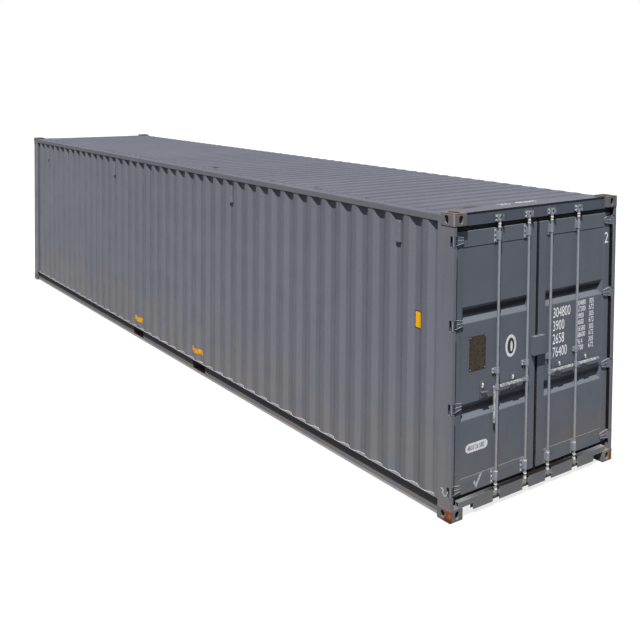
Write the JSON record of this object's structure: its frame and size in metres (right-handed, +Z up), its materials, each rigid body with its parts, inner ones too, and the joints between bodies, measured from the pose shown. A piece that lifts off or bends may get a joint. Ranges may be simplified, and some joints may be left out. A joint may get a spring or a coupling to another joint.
{
  "type": "shipping container",
  "caption": "Forty foot high cube dry freight container in weathered grey, with corrugated walls and roof, two hinged doors, four locking rods and hollow corner castings.",
  "frame": {"origin": "middle of the footprint, in the plane of the undersides of the bottom corner castings", "axes": "+X along the length towards the door end, +Y across, to the right as seen by someone who faces the doors from outside, +Z up"},
  "size_m": [12.192, 2.438, 2.896],
  "materials": {
    "frame_paint": "satin, weathered",
    "door_paint": "satin, weathered",
    "castings": "worn, with rust",
    "locking_gear": "dull galvanised",
    "door_seals": "matt",
    "floor_boards": "worn plywood",
    "vent_covers": "matt",
    "data_plate": "dull, dark brown"
  },
  "bodies": {
    "container_frame": {"bottom_corner_castings": "castings", "top_corner_castings": "castings", "door_posts": "frame_paint", "front_posts": "frame_paint", "top_side_rails": "frame_paint", "bottom_side_rails": "frame_paint", "front_top_rail": "frame_paint", "front_bottom_rail": "frame_paint", "front_rail_skirts": "frame_paint", "side_walls": "frame_paint", "side_vents": "vent_covers", "front_wall": "frame_paint", "roof": "frame_paint", "roof_corner_plates": "frame_paint", "crossmembers": "frame_paint", "fork_pockets": "frame_paint", "gooseneck_tunnel": "frame_paint", "floor": "floor_boards", "door_header": "frame_paint", "door_sill": "frame_paint", "sill_fronts": "frame_paint", "cam_keepers": "locking_gear"},
    "left_door": {"left_door_frame": "door_paint", "left_door_panel": "door_paint", "left_door_seal": "door_seals", "left_hinge_leaves": "door_paint", "left_rod_bearings": "locking_gear", "left_handle_retainers": "locking_gear", "left_lock_box": "door_paint", "data_plate": "data_plate"},
    "left_outer_rod": {"left_outer_rod": "locking_gear"},
    "left_outer_handle": {"left_outer_handle": "locking_gear"},
    "left_inner_rod": {"left_inner_rod": "locking_gear"},
    "left_inner_handle": {"left_inner_handle": "locking_gear"},
    "right_door": {"right_door_frame": "door_paint", "right_door_panel": "door_paint", "right_door_seal": "door_seals", "right_hinge_leaves": "door_paint", "right_rod_bearings": "locking_gear", "right_handle_retainers": "locking_gear", "right_lock_box": "door_paint"},
    "right_outer_rod": {"right_outer_rod": "locking_gear"},
    "right_outer_handle": {"right_outer_handle": "locking_gear"},
    "right_inner_rod": {"right_inner_rod": "locking_gear"},
    "right_inner_handle": {"right_inner_handle": "locking_gear"}
  },
  "joints": [
    {"name": "left_door_hinge", "type": "hinge", "parent": "container_frame", "child": "left_door", "pos_m": [6.081, -1.204, 1.4575], "axis": [0, 0, -1], "range_deg": [0, 265]},
    {"name": "right_door_hinge", "type": "hinge", "parent": "container_frame", "child": "right_door", "pos_m": [6.081, 1.204, 1.4575], "axis": [0, 0, 1], "range_deg": [0, 265]},
    {"name": "left_outer_rod_turn", "type": "hinge", "parent": "left_door", "child": "left_outer_rod", "pos_m": [6.076, -0.59393, 1.4585], "axis": [0, 0, -1], "range_deg": [-100, 0]},
    {"name": "left_inner_rod_turn", "type": "hinge", "parent": "left_door", "child": "left_inner_rod", "pos_m": [6.076, -0.17102, 1.4585], "axis": [0, 0, -1], "range_deg": [-100, 0]},
    {"name": "right_outer_rod_turn", "type": "hinge", "parent": "right_door", "child": "right_outer_rod", "pos_m": [6.076, 0.59393, 1.4585], "axis": [0, 0, 1], "range_deg": [-100, 0]},
    {"name": "right_inner_rod_turn", "type": "hinge", "parent": "right_door", "child": "right_inner_rod", "pos_m": [6.076, 0.17102, 1.4585], "axis": [0, 0, 1], "range_deg": [-100, 0]},
    {"name": "left_outer_handle_lift", "type": "hinge", "parent": "left_outer_rod", "child": "left_outer_handle", "pos_m": [6.076, -0.62993, 1.16491], "axis": [-1, 0, 0], "range_deg": [0, 65]},
    {"name": "left_inner_handle_lift", "type": "hinge", "parent": "left_inner_rod", "child": "left_inner_handle", "pos_m": [6.076, -0.20702, 1.16491], "axis": [-1, 0, 0], "range_deg": [0, 40]},
    {"name": "right_outer_handle_lift", "type": "hinge", "parent": "right_outer_rod", "child": "right_outer_handle", "pos_m": [6.076, 0.62993, 1.16491], "axis": [1, 0, 0], "range_deg": [0, 40]},
    {"name": "right_inner_handle_lift", "type": "hinge", "parent": "right_inner_rod", "child": "right_inner_handle", "pos_m": [6.076, 0.20702, 1.16491], "axis": [1, 0, 0], "range_deg": [0, 40]}
  ]
}
